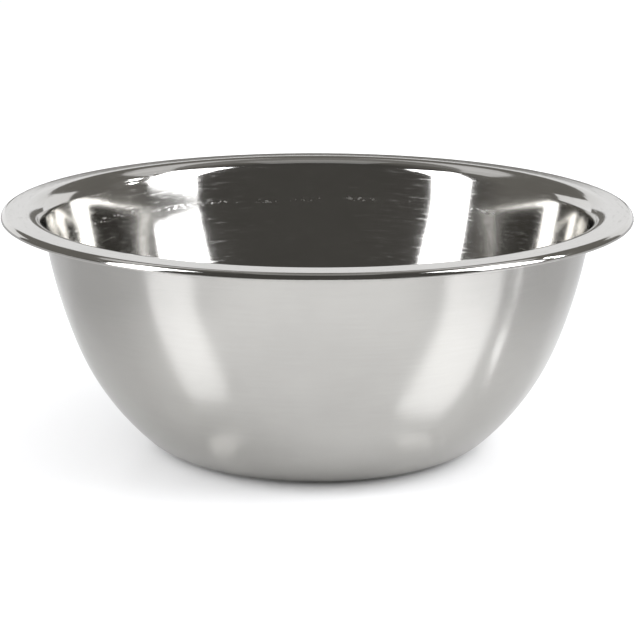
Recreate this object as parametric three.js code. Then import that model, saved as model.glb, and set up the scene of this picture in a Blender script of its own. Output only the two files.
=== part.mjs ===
// A mixing bowl, pressed from one disc of stainless-steel sheet: a flat base with a raised centre panel, a
// wall that curves up in four blended arcs, and a wide flange whose edge is turned down and hemmed.
// Millimetres, +Z up. The origin is the centre of the base, on the plane that the bowl stands on.
import * as THREE from "three";

// Driving dimensions of the whole bowl.
const rimRadius = 140;
const bowlHeight = 108.5;
const sheetThickness = 0.6;

// Base: the centre panel is pressed up, so that the bowl stands on the flat ring around it.
const panelRadius = 44;
const panelRise = 0.8;
const footInnerRadius = 48;
const footOuterRadius = 61;

// Wall, on its outside face: each arc carries on from the last, to its own slope from the horizontal. The
// last arc's radius is negative because it turns the other way: the wall opens out slightly below the flange.
const wallArcs = [
  { radius: 26.35, slope: 42.5, steps: 4 },
  { radius: 114.8, slope: 68.3, steps: 4 },
  { radius: 214, slope: 79.4, steps: 3 },
  { radius: -550, slope: 78.2, steps: 1 },
];
const wallSlope = wallArcs[wallArcs.length - 1].slope;

// Flange: its underside leaves the wall in a bend, falls slightly outwards, and turns down at the lip.
const flangeBendRadius = 7.8;
const flangeBendSteps = 6;
const flangeFall = 1.7;
const lipBendRadius = 1.95;
const lipBendSteps = 4;

// Hem: the sheet's edge is folded back under the lip and pressed flat, so the hem is one solid thickness.
const hemFoldRadius = 0.65;
const hemFoldSteps = 4;
const hemRise = 0.7;

const segmentsRound = 72;

const steelColour = 0xc5c4c0;
const steelRoughness = 0.22;

// Headings, in degrees.
const straightDown = -90;
const foldedBackUp = -270;

const radians = THREE.MathUtils.degToRad;

// A line of points in the plane of radius and height. It has a heading, in degrees above the horizontal.
class SheetPath {
  constructor(radius, height) {
    this.points = [new THREE.Vector2(radius, height)];
    this.heading = 0;
  }

  get end() {
    return this.points[this.points.length - 1];
  }

  lineTo(radius, height) {
    this.points.push(new THREE.Vector2(radius, height));
  }

  ahead(length) {
    const angle = radians(this.heading);
    this.lineTo(this.end.x + length * Math.cos(angle), this.end.y + length * Math.sin(angle));
  }

  // Bends to a new heading. A rising bend has its centre on the left of the path, a falling one on the right.
  bendTo(heading, radius, steps) {
    const side = Math.sign(heading - this.heading);
    const first = radians(this.heading);
    const sweep = radians(heading) - first;
    const centre = new THREE.Vector2(
      this.end.x - side * radius * Math.sin(first),
      this.end.y + side * radius * Math.cos(first),
    );
    for (let step = 1; step <= steps; step += 1) {
      const angle = first + (sweep * step) / steps;
      this.lineTo(centre.x + side * radius * Math.sin(angle), centre.y - side * radius * Math.cos(angle));
    }
    this.heading = heading;
  }
}

// Where the last wall arc ends, on the outside face.
function wallArcsEnd() {
  let slope = 0;
  const end = new THREE.Vector2(footOuterRadius, 0);
  for (const arc of wallArcs) {
    end.x += arc.radius * (Math.sin(radians(arc.slope)) - Math.sin(radians(slope)));
    end.y += arc.radius * (Math.cos(radians(slope)) - Math.cos(radians(arc.slope)));
    slope = arc.slope;
  }
  return end;
}

// A short straight top of the wall makes up the height that the arcs and the flange's bend leave.
const undersideCrown = bowlHeight - sheetThickness;
const bendRise = flangeBendRadius * (1 - Math.cos(radians(wallSlope)));
const straightLength = (undersideCrown - bendRise - wallArcsEnd().y) / Math.sin(radians(wallSlope));

// The flange's straight part makes up the radius that the wall, its bend and the lip leave.
const crownRadius =
  wallArcsEnd().x +
  straightLength * Math.cos(radians(wallSlope)) +
  flangeBendRadius * Math.sin(radians(wallSlope));
const lipCentreRadius = rimRadius - sheetThickness - lipBendRadius;
const flangeLength =
  (lipCentreRadius - crownRadius) / Math.cos(radians(flangeFall)) +
  (lipBendRadius - flangeBendRadius) * Math.tan(radians(flangeFall));

// One face of the sheet, at a distance inwards from the outside face, up to a heading in the lip's bend.
function sheetFace(inset, lipHeading) {
  const face = new SheetPath(0, panelRise + inset);
  face.lineTo(panelRadius, panelRise + inset);
  face.lineTo(footInnerRadius, inset);
  face.lineTo(footOuterRadius, inset);
  for (const arc of wallArcs) {
    face.bendTo(arc.slope, Math.abs(arc.radius - inset), arc.steps);
  }
  face.ahead(straightLength);
  face.bendTo(-flangeFall, flangeBendRadius + inset, flangeBendSteps);
  face.ahead(flangeLength);
  face.bendTo(lipHeading, lipBendRadius + inset, lipBendSteps);
  return face;
}

// The closed section of the sheet: outside face, hem, and back along the inside face to the axis.
function sheetSection() {
  const meetsHem = -THREE.MathUtils.radToDeg(Math.acos(hemRise / lipBendRadius));
  const outside = sheetFace(0, meetsHem);
  const inside = sheetFace(sheetThickness, straightDown);
  const fold = new SheetPath(inside.end.x, inside.end.y);
  fold.heading = straightDown;
  fold.bendTo(foldedBackUp, hemFoldRadius, hemFoldSteps);
  fold.lineTo(fold.end.x, fold.end.y + hemRise);
  return [...outside.points, ...fold.points.reverse(), ...inside.points.reverse().slice(1)];
}

function bowl() {
  const geometry = new THREE.LatheGeometry(sheetSection(), segmentsRound);
  geometry.rotateX(Math.PI / 2);
  const steel = new THREE.MeshStandardMaterial({
    color: steelColour,
    roughness: steelRoughness,
    metalness: 1,
  });
  const mesh = new THREE.Mesh(geometry, steel);
  mesh.name = "bowl";
  return mesh;
}

const mixingBowl = new THREE.Group();
mixingBowl.add(bowl());

export default mixingBowl;
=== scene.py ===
import math

import bmesh
import bpy
import numpy as np
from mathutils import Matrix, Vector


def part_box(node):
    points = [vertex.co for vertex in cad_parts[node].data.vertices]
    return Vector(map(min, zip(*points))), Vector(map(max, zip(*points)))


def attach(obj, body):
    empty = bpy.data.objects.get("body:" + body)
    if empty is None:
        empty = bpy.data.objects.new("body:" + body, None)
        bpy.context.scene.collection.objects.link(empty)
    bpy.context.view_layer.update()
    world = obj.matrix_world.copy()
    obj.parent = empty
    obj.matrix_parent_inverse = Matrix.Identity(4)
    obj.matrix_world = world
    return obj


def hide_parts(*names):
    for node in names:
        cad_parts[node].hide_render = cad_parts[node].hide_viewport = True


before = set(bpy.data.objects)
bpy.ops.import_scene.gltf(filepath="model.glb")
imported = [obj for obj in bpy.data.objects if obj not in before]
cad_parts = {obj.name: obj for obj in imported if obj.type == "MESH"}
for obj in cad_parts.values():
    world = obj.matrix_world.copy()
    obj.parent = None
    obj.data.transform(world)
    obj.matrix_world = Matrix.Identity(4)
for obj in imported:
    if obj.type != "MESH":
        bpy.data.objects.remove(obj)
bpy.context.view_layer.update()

MM = 0.001

# The bowl's driving sizes, in metres. The rim and the height come from the CAD node, and the rest repeats
# the CAD's design.
low_corner, high_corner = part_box("bowl")
RIM_RADIUS = high_corner.x
BOWL_HEIGHT = high_corner.z
SHEET = 0.6 * MM

# Base: a raised centre panel with a soft step, and the flat ring that the bowl stands on. The step's slope
# is in degrees.
PANEL_RISE = 0.8 * MM
PANEL_RADIUS = 44 * MM
STEP_SLOPE = 20
FOOT_OUTER_RADIUS = 61 * MM

# Wall, on its outside face: each arc's radius, and the slope in degrees that it ends at. The last arc turns
# the other way.
WALL_ARCS = ((26.35 * MM, 42.5), (114.8 * MM, 68.3), (214 * MM, 79.4), (-550 * MM, 78.2))
WALL_SLOPE = WALL_ARCS[-1][1]

# Flange and lip: the bends' radii on the sheet's underside, and the fall in degrees. Hem: the gap inside the
# fold, how far the sheet rises again, and how much is taken off the corners of the cut edge.
FLANGE_BEND = 7.8 * MM
FLANGE_FALL = 1.7
LIP_BEND = 1.95 * MM
HEM_GAP = 0.06 * MM
HEM_RISE = 0.55 * MM
CUT_EDGE = 0.12 * MM

# Headings, in degrees.
LEVEL = 0.0
STRAIGHT_UP = 90.0
STRAIGHT_DOWN = -90.0
FOLDED_BACK_UP = -270.0

# Fineness of the mesh.
SEGMENTS_ROUND = 288
DEGREES_PER_STEP = 3.0
LONGEST_STEP = 3.0 * MM
FEWEST_BEND_STEPS = 2

# A point nearer the axis than this becomes one vertex in place of a ring.
ON_AXIS = 1e-6 * MM

FACE_POLISHED, FACE_SATIN, FACE_EDGE = range(3)


class SheetPath:
    """A line of points in the plane of radius and height, with a heading in degrees above the horizontal."""

    def __init__(self, radius, height, heading=LEVEL):
        self.points = [(radius, height)]
        self.heading = heading

    def ahead(self, length):
        """Goes straight on."""
        steps = max(1, math.ceil(length / LONGEST_STEP))
        angle = math.radians(self.heading)
        r, z = self.points[-1]
        for step in range(1, steps + 1):
            along = length * step / steps
            self.points.append((r + along * math.cos(angle), z + along * math.sin(angle)))

    def bend_to(self, heading, radius):
        """Bends to a new heading. A rising bend has its centre on the left, a falling one on the right."""
        side = 1 if heading > self.heading else -1
        first = math.radians(self.heading)
        sweep = math.radians(heading) - first
        r, z = self.points[-1]
        centre_r = r - side * radius * math.sin(first)
        centre_z = z + side * radius * math.cos(first)
        by_angle = math.ceil(abs(heading - self.heading) / DEGREES_PER_STEP)
        by_length = math.ceil(abs(sweep) * radius / LONGEST_STEP)
        steps = max(FEWEST_BEND_STEPS, by_angle, by_length)
        for step in range(1, steps + 1):
            angle = first + sweep * step / steps
            out = side * radius * math.sin(angle)
            down = side * radius * math.cos(angle)
            self.points.append((centre_r + out, centre_z - down))
        self.heading = heading


def wall_arcs_end():
    """Where the last wall arc ends, on the outside face."""
    r, z, slope = FOOT_OUTER_RADIUS, 0.0, LEVEL
    for radius, end_slope in WALL_ARCS:
        r += radius * (math.sin(math.radians(end_slope)) - math.sin(math.radians(slope)))
        z += radius * (math.cos(math.radians(slope)) - math.cos(math.radians(end_slope)))
        slope = end_slope
    return r, z


def sheet_face(inset):
    """One face of the sheet, from the axis to the lip's lower end. The inset is its distance inwards from the
    outside face. A short straight top of the wall makes up the bowl's height, and the straight part of the
    flange makes up its radius."""
    slope = math.radians(WALL_SLOPE)
    fall = math.radians(FLANGE_FALL)
    arcs_r, arcs_z = wall_arcs_end()
    bend_rise = FLANGE_BEND * (1 - math.cos(slope))
    straight = (BOWL_HEIGHT - SHEET - bend_rise - arcs_z) / math.sin(slope)
    crown_r = arcs_r + straight * math.cos(slope) + FLANGE_BEND * math.sin(slope)
    lip_centre = RIM_RADIUS - SHEET - LIP_BEND
    flange = (lip_centre - crown_r) / math.cos(fall) + (LIP_BEND - FLANGE_BEND) * math.tan(fall)

    # The step's two equal and opposite bends take up the panel's rise.
    step_slope = math.radians(STEP_SLOPE)
    step_bend = PANEL_RISE / (2 * (1 - math.cos(step_slope)))
    step_width = 2 * step_bend * math.sin(step_slope)

    face = SheetPath(0.0, PANEL_RISE + inset)
    face.ahead(PANEL_RADIUS)
    face.bend_to(-STEP_SLOPE, step_bend + inset)
    face.bend_to(LEVEL, step_bend - inset)
    face.ahead(FOOT_OUTER_RADIUS - PANEL_RADIUS - step_width)
    for radius, end_slope in WALL_ARCS:
        face.bend_to(end_slope, abs(radius - inset))
    face.ahead(straight)
    face.bend_to(-FLANGE_FALL, FLANGE_BEND + inset)
    face.ahead(flange)
    face.bend_to(STRAIGHT_DOWN, LIP_BEND + inset)
    return face


def hem_skin(start, fold_radius):
    """One skin of the hem: it turns under the lip and up again."""
    skin = SheetPath(*start, heading=STRAIGHT_DOWN)
    skin.bend_to(FOLDED_BACK_UP, fold_radius)
    skin.heading = STRAIGHT_UP
    skin.ahead(HEM_RISE)
    return skin


def bowl_section():
    """The sheet's closed section, as points and the material of the stretch after each: the outside face, the
    folded hem with its cut edge, and back along the inside face."""
    outside = sheet_face(0.0)
    inside = sheet_face(SHEET)
    inner_fold = hem_skin(outside.points[-1], HEM_GAP / 2)
    outer_fold = hem_skin(inside.points[-1], SHEET + HEM_GAP / 2)

    # The cut edge joins the two skins, with its corners taken off.
    inner_r, inner_z = inner_fold.points[-1]
    outer_r, outer_z = outer_fold.points[-1]
    edge = [
        (inner_r - CUT_EDGE, inner_z + CUT_EDGE),
        (outer_r + CUT_EDGE, outer_z + CUT_EDGE),
    ]

    points = []
    faces = []

    def add(stretch, material):
        for point in stretch:
            if points:
                faces.append(material)
            points.append(point)

    add(outside.points, FACE_SATIN)
    add(inner_fold.points[1:], FACE_SATIN)
    add(edge, FACE_EDGE)
    add(outer_fold.points[:-2:-1], FACE_EDGE)
    add(outer_fold.points[-2::-1], FACE_POLISHED)
    add(inside.points[-2::-1], FACE_POLISHED)
    return points, faces


def revolve(name, points, faces):
    """A closed solid from a section whose two ends lie on the axis."""
    grid = bmesh.new()
    angles = [2 * math.pi * k / SEGMENTS_ROUND for k in range(SEGMENTS_ROUND)]
    rings = []
    for radius, height in points:
        if radius < ON_AXIS:
            places = [(0.0, 0.0, height)]
        else:
            places = [(radius * math.cos(angle), radius * math.sin(angle), height) for angle in angles]
        rings.append([grid.verts.new(place) for place in places])

    for ring, following, material in zip(rings, rings[1:], faces):
        for k in range(SEGMENTS_ROUND):
            n = (k + 1) % SEGMENTS_ROUND
            corners = [
                ring[k % len(ring)],
                ring[n % len(ring)],
                following[n % len(following)],
                following[k % len(following)],
            ]
            # At the axis two of the corners are the same vertex.
            face = grid.faces.new(list(dict.fromkeys(corners)))
            face.material_index = material
            face.smooth = True
    grid.normal_update()
    return finished_object(name, grid)


def finished_object(name, grid):
    """Turns a bmesh into an object in the scene."""
    mesh = bpy.data.meshes.new(name)
    grid.to_mesh(mesh)
    grid.free()
    piece = bpy.data.objects.new(name, mesh)
    bpy.context.scene.collection.objects.link(piece)
    return piece


def store_along(piece, points):
    """Stores on each vertex how far along the section it lies, in metres. The polishing lines follow it."""
    steps = np.hypot(*np.diff(np.array(points), axis=0).T)
    distances = np.concatenate([[0.0], np.cumsum(steps)])
    vertices_in_ring = [1 if radius < ON_AXIS else SEGMENTS_ROUND for radius, _ in points]
    attribute = piece.data.attributes.new("along", "FLOAT", "POINT")
    values = np.repeat(distances, vertices_in_ring)
    attribute.data.foreach_set("value", values.astype(np.float32))


# Materials. A noise's coordinates run round the bowl on a circle of the first scale, and go up by the second
# scale for each metre along the section.
STEEL_DARK = (0.528, 0.518, 0.494, 1.0)
STEEL_LIGHT = (0.564, 0.553, 0.528, 1.0)
WHITE = (1.0, 1.0, 1.0, 1.0)
QUARTER_TURN = 0.25
MOTTLES_PER_METRE = 38.0
MARK_ROUGHNESS = 0.4

# The ring of scuffs: its height, how far it wanders up and down, and half its width inside and with its
# faded edges.
SCUFF_HEIGHT = 88 * MM
SCUFF_WANDER = 1.5 * MM
SCUFF_INNER_HALF_WIDTH = 0.3 * MM
SCUFF_OUTER_HALF_WIDTH = 1.6 * MM

# The pits: how many cells there are in a metre, the share of them without a pit, and a pit's radius in cells
# inside and with its faded edge.
SPECK_CELLS_PER_METRE = 55.0
SPECK_FREE_SHARE = 0.72
SPECK_INNER_RADIUS = 0.012
SPECK_OUTER_RADIUS = 0.03


class Nodes:
    """A short way to write node trees: each call makes a node, sets its values and links its inputs."""

    def __init__(self, tree):
        self.tree = tree
        tree.nodes.clear()

    def add(self, kind, inputs=None, **settings):
        node = self.tree.nodes.new(kind)
        for key, value in settings.items():
            setattr(node, key, value)
        for key, value in (inputs or {}).items():
            if isinstance(value, bpy.types.NodeSocket):
                self.tree.links.new(value, node.inputs[key])
            else:
                node.inputs[key].default_value = value
        return node

    def math(self, operation, a, b=0.0, c=0.0):
        """MULTIPLY_ADD gives a times b plus c."""
        return self.add("ShaderNodeMath", {0: a, 1: b, 2: c}, operation=operation).outputs[0]

    def smooth(self, value, low, high, to_low=0.0, to_high=1.0):
        """A smooth step between two values of the input."""
        inputs = {
            "Value": value,
            "From Min": low,
            "From Max": high,
            "To Min": to_low,
            "To Max": to_high,
        }
        return self.add("ShaderNodeMapRange", inputs, interpolation_type="SMOOTHSTEP").outputs[0]

    def noise(self, vector, detail=2.0, roughness=0.5):
        inputs = {"Vector": vector, "Scale": 1.0, "Detail": detail, "Roughness": roughness}
        return self.add("ShaderNodeTexNoise", inputs).outputs["Fac"]

    def place(self):
        """The point on the object, in its own metres."""
        return self.add("ShaderNodeTexCoord").outputs["Object"]

    def parts(self, vector):
        split = self.add("ShaderNodeSeparateXYZ", {0: vector})
        return split.outputs["X"], split.outputs["Y"], split.outputs["Z"]

    def combine(self, x, y, z):
        return self.add("ShaderNodeCombineXYZ", {"X": x, "Y": y, "Z": z}).outputs[0]

    def scaled(self, vector, factor):
        inputs = {0: vector, "Scale": factor}
        return self.add("ShaderNodeVectorMath", inputs, operation="SCALE").outputs[0]

    def normalised(self, vector):
        return self.add("ShaderNodeVectorMath", {0: vector}, operation="NORMALIZE").outputs[0]


def polishing(nodes, round_scale, across_scale):
    """Coordinates that change slowly round the bowl and fast across the polishing lines, with no seam."""
    x, y, _ = nodes.parts(nodes.place())
    turn_x, turn_y, _ = nodes.parts(nodes.normalised(nodes.combine(x, y, 0.0)))
    along = nodes.add("ShaderNodeAttribute", attribute_name="along").outputs["Fac"]
    return nodes.combine(
        nodes.math("MULTIPLY", turn_x, round_scale),
        nodes.math("MULTIPLY", turn_y, round_scale),
        nodes.math("MULTIPLY", along, across_scale),
    )


def scuffs(nodes):
    """Short marks in a ring round the inside, where the next bowl of a stack rubs."""
    _, _, height = nodes.parts(nodes.place())
    slow = nodes.noise(polishing(nodes, 1.3, 0.0))
    wander = nodes.smooth(slow, 0.3, 0.7, -SCUFF_WANDER, SCUFF_WANDER)
    off_ring = nodes.math("SUBTRACT", nodes.math("SUBTRACT", height, SCUFF_HEIGHT), wander)
    off_ring = nodes.math("ABSOLUTE", off_ring)
    ring = nodes.smooth(off_ring, SCUFF_INNER_HALF_WIDTH, SCUFF_OUTER_HALF_WIDTH, 1.0, 0.0)
    marks = nodes.smooth(nodes.noise(polishing(nodes, 60.0, 900.0)), 0.54, 0.66)
    patches = nodes.smooth(nodes.noise(polishing(nodes, 4.0, 20.0)), 0.42, 0.6)
    return nodes.math("MULTIPLY", nodes.math("MULTIPLY", ring, marks), patches)


def specks(nodes):
    """A few tiny pits, in the cells whose point happens to lie close to the surface."""
    inputs = {"Vector": nodes.place(), "Scale": SPECK_CELLS_PER_METRE}
    cells = nodes.add("ShaderNodeTexVoronoi", inputs)
    chance, _, _ = nodes.parts(cells.outputs["Color"])
    dot = nodes.smooth(cells.outputs["Distance"], SPECK_INNER_RADIUS, SPECK_OUTER_RADIUS, 1.0, 0.0)
    return nodes.math("MULTIPLY", dot, nodes.math("GREATER_THAN", chance, SPECK_FREE_SHARE))


def steel(name, roughness, anisotropy, variation, hairline, line_height, wave_height, marks=None):
    """Stainless steel. Its polishing lines run round the bowl, so that highlights stretch up and down the
    wall. The roughness changes by the variation from line to line, and the hairlines are rougher by the value
    given. The heights are those of the lines and of the slow waves that pressing leaves."""
    material = bpy.data.materials.new(name)
    material.use_nodes = True
    nodes = Nodes(material.node_tree)
    fine = nodes.noise(polishing(nodes, 5.0, 1300.0), detail=4.0, roughness=0.75)
    broad = nodes.noise(polishing(nodes, 2.0, 210.0))
    wave = nodes.noise(polishing(nodes, 2.2, 42.0), detail=1.0)
    hairlines = nodes.smooth(nodes.noise(polishing(nodes, 14.0, 1000.0), detail=3.0), 0.54, 0.74)
    mottle = nodes.noise(nodes.scaled(nodes.place(), MOTTLES_PER_METRE), detail=3.0)

    rough = nodes.math("MULTIPLY_ADD", fine, 2 * variation, roughness - variation)
    rough = nodes.math("MULTIPLY_ADD", broad, variation, rough)
    rough = nodes.math("MULTIPLY_ADD", mottle, variation, rough)
    rough = nodes.math("MULTIPLY_ADD", hairlines, hairline, rough)
    if marks:
        rough = nodes.math("MULTIPLY_ADD", marks(nodes), MARK_ROUGHNESS, rough)

    lines = nodes.add("ShaderNodeBump", {
        "Height": fine,
        "Strength": 1.0,
        "Distance": line_height,
    })
    waves = nodes.add("ShaderNodeBump", {
        "Height": wave,
        "Strength": 1.0,
        "Distance": wave_height,
        "Normal": lines.outputs[0],
    })
    tone = nodes.smooth(nodes.math("ADD", mottle, fine), 0.7, 1.3)
    shades = {0: tone, "A": STEEL_DARK, "B": STEEL_LIGHT}
    colour = nodes.add("ShaderNodeMix", shades, data_type="RGBA")
    tangent = nodes.add("ShaderNodeTangent", direction_type="RADIAL", axis="Z")
    shader = nodes.add("ShaderNodeBsdfPrincipled", {
        "Base Color": colour.outputs["Result"],
        "Metallic": 1.0,
        "Roughness": rough,
        "Anisotropic": anisotropy,
        "Anisotropic Rotation": QUARTER_TURN,
        "Normal": waves.outputs[0],
        "Tangent": tangent.outputs[0],
    })
    nodes.add("ShaderNodeOutputMaterial", {"Surface": shader.outputs[0]})
    return material


def finishes():
    """The bowl's materials, in the order of the face numbers."""
    polished = steel(
        "polished_steel",
        roughness=0.055,
        anisotropy=0.3,
        variation=0.035,
        hairline=0.1,
        line_height=0.001 * MM,
        wave_height=0.025 * MM,
        marks=scuffs,
    )
    satin = steel(
        "satin_steel",
        roughness=0.12,
        anisotropy=0.87,
        variation=0.04,
        hairline=0.03,
        line_height=0.0009 * MM,
        wave_height=0.04 * MM,
        marks=specks,
    )
    cut_edge = steel(
        "cut_edge_steel",
        roughness=0.38,
        anisotropy=0.0,
        variation=0.05,
        hairline=0.1,
        line_height=0.004 * MM,
        wave_height=0.0,
    )
    by_face = {FACE_POLISHED: polished, FACE_SATIN: satin, FACE_EDGE: cut_edge}
    return [by_face[face] for face in sorted(by_face)]


def bowl():
    points, faces = bowl_section()
    piece = revolve("mixing_bowl", points, faces)
    store_along(piece, points)
    for finish in finishes():
        piece.data.materials.append(finish)
    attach(piece, "root")
    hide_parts("bowl")


bowl()


# The studio: a white table, softboxes, a light backdrop and a dark room. Distances are in metres.

# The table. Reflections see it glossier than the camera does, and darker by painted shade, a share that grows
# from its middle strip to its sides.
TABLE_RADIUS = 12.0
TABLE_SEGMENTS = 128
TABLE_WHITE = 0.9
TABLE_GLOSS = 0.05
TABLE_GLOSS_IN_REFLECTIONS = 0.09
TABLE_ROUGHNESS = 0.1
STRIP_EDGE = 0.1
SIDES_START = 0.28
# Painted shade: the share by which reflections see the table darker, in its middle strip and at its sides.
STRIP_PAINTED_SHADE = 0.23
SIDES_PAINTED_SHADE = 0.57

# The lamps.
COOL_WHITE = (0.96, 0.97, 1.0)
LAMP_DISTANCE = 1.8
KEY_RADIANCE = 7.0
KEY_LEAN = 30
SMALL_LAMP_RADIANCE = 65.0
BACKDROP_DISTANCE = 6.0

# The room. Its strengths are for reflections that leave towards the camera's side, and for the others.
# Overhead it is a little darker.
ROOM_COLOUR = (1.0, 0.965, 0.9, 1.0)
ROOM_CAMERA_SIDE = 0.085
ROOM_AWAY = 0.2
ROOM_OVERHEAD_SHARE = 0.9
SURROUND_STRENGTH = 0.95


def table():
    grid = bmesh.new()
    bmesh.ops.create_circle(grid, cap_ends=True, radius=TABLE_RADIUS, segments=TABLE_SEGMENTS)
    piece = finished_object("table", grid)
    material = bpy.data.materials.new("table_white")
    material.use_nodes = True
    nodes = Nodes(material.node_tree)
    in_reflection = nodes.add("ShaderNodeLightPath").outputs["Is Glossy Ray"]
    x, _, _ = nodes.parts(nodes.place())
    off_middle = nodes.math("ABSOLUTE", x)
    # Painted shade: only reflections see the table darker, least in its middle strip and most at its sides.
    painted_shade = nodes.smooth(off_middle, STRIP_EDGE, SIDES_START, STRIP_PAINTED_SHADE, SIDES_PAINTED_SHADE)
    painted_shade = nodes.math("MULTIPLY", painted_shade, in_reflection)
    white = nodes.math("MULTIPLY_ADD", painted_shade, -TABLE_WHITE, TABLE_WHITE)
    matt = nodes.add("ShaderNodeBsdfDiffuse", {"Color": nodes.combine(white, white, white)})
    gloss = nodes.add("ShaderNodeBsdfGlossy", {"Color": WHITE, "Roughness": TABLE_ROUGHNESS})
    more_gloss = TABLE_GLOSS_IN_REFLECTIONS - TABLE_GLOSS
    share = nodes.math("MULTIPLY_ADD", in_reflection, more_gloss, TABLE_GLOSS)
    mixed = nodes.add("ShaderNodeMixShader", {0: share, 1: matt.outputs[0], 2: gloss.outputs[0]})
    nodes.add("ShaderNodeOutputMaterial", {"Surface": mixed.outputs[0]})
    piece.data.materials.append(material)


def softbox(name, azimuth, distance, width, low, length, radiance, lean=0.0, yaw=0.0):
    """A lit panel. Azimuth 0 is the camera's side, and it grows to the right. The distance and the height low
    are those of the middle of the lower edge. The panel faces the bowl, turned by yaw, and its top leans in
    over the bowl. Angles are in degrees."""
    data = bpy.data.lights.new(name, "AREA")
    data.shape = "RECTANGLE"
    data.size = width
    data.size_y = length
    data.energy = radiance * math.pi * width * length
    data.color = COOL_WHITE
    lamp = bpy.data.objects.new(name, data)
    side = math.radians(azimuth)
    facing = math.radians(azimuth + yaw)
    tilt = math.radians(lean)
    inwards = length / 2 * math.sin(tilt)
    lamp.location = (
        distance * math.sin(side) - inwards * math.sin(facing),
        -distance * math.cos(side) + inwards * math.cos(facing),
        low + length / 2 * math.cos(tilt),
    )
    lamp.rotation_euler = (math.pi / 2 - tilt, 0.0, facing)
    lamp.visible_camera = False
    bpy.context.scene.collection.objects.link(lamp)


def lights():
    key = {"distance": LAMP_DISTANCE, "radiance": KEY_RADIANCE, "lean": KEY_LEAN}
    softbox("key_left", azimuth=-65, width=0.55, low=0.0, length=1.5, **key)
    softbox("key_right", azimuth=70.5, width=0.8, low=0.4, length=1.5, yaw=-6, **key)

    small = {"distance": LAMP_DISTANCE, "radiance": SMALL_LAMP_RADIANCE}
    softbox("low_lamp", azimuth=93, width=0.09, low=0.59, length=0.09, **small)
    softbox("high_lamp", azimuth=98, width=0.08, low=1.1, length=0.22, **small)

    far = {"distance": BACKDROP_DISTANCE}
    softbox("backdrop_left", azimuth=-147.5, width=4.0, low=0.0, length=2.2, radiance=0.95, **far)
    softbox("backdrop_right", azimuth=150.5, width=3.3, low=0.0, length=2.8, radiance=0.9, **far)
    softbox("backdrop_middle", azimuth=180, width=3.0, low=1.0, length=1.6, radiance=0.85, **far)

    high = {"distance": 1.5, "width": 2.0, "low": 1.75, "length": 0.5, "radiance": 0.6, "lean": 55}
    softbox("overhead_left", azimuth=-135, **high)
    softbox("overhead_right", azimuth=135, **high)
    back = {"distance": 1.3, "width": 2.2, "low": 1.9, "length": 1.0, "radiance": 0.1, "lean": 75}
    softbox("overhead_back", azimuth=180, **back)
    level = {"distance": 0.45, "width": 0.9, "low": 2.1, "length": 0.9, "radiance": 0.25, "lean": 90}
    softbox("overhead", azimuth=0, **level)


def room():
    """Reflections see a dark warm room, darkest on the camera's side. All else sees a white surround."""
    world = bpy.data.worlds.new("studio")
    bpy.context.scene.world = world
    world.use_nodes = True
    nodes = Nodes(world.node_tree)
    _, away, up = nodes.parts(nodes.add("ShaderNodeTexCoord").outputs["Generated"])
    strength = nodes.smooth(away, -0.35, 0.1, ROOM_CAMERA_SIDE, ROOM_AWAY)
    overhead = nodes.smooth(up, 0.75, 0.9, 1.0, ROOM_OVERHEAD_SHARE)
    strength = nodes.math("MULTIPLY", strength, overhead)
    dark = nodes.add("ShaderNodeBackground", {"Color": ROOM_COLOUR, "Strength": strength})
    white = nodes.add("ShaderNodeBackground", {"Color": WHITE, "Strength": SURROUND_STRENGTH})
    in_reflection = nodes.add("ShaderNodeLightPath").outputs["Is Glossy Ray"]
    mixed = nodes.add("ShaderNodeMixShader", {
        0: in_reflection,
        1: white.outputs[0],
        2: dark.outputs[0],
    })
    nodes.add("ShaderNodeOutputWorld", {"Surface": mixed.outputs[0]})


table()
lights()
room()


# The camera stands 1 m from a point on the bowl's axis, looks down at it, and is rolled by a small angle. The
# sensor's width and the focal length are in millimetres.
SENSOR_WIDTH = 36.0
FOCAL_LENGTH = 125.76
CAMERA_DISTANCE = 1.0
CAMERA_ELEVATION = math.radians(13.87)
CAMERA_ROLL = math.radians(0.13)
AIM_HEIGHT = 56.78 * MM


def camera():
    data = bpy.data.cameras.new("camera")
    data.sensor_width = SENSOR_WIDTH
    data.lens = FOCAL_LENGTH
    eye = bpy.data.objects.new("camera", data)
    back = CAMERA_DISTANCE * math.cos(CAMERA_ELEVATION)
    rise = CAMERA_DISTANCE * math.sin(CAMERA_ELEVATION)
    eye.location = (0.0, -back, AIM_HEIGHT + rise)
    eye.rotation_euler = (math.pi / 2 - CAMERA_ELEVATION, 0.0, 0.0)
    eye.rotation_euler.rotate_axis("Z", CAMERA_ROLL)
    bpy.context.scene.collection.objects.link(eye)
    bpy.context.scene.camera = eye


camera()
bpy.context.scene.view_settings.view_transform = "Standard"
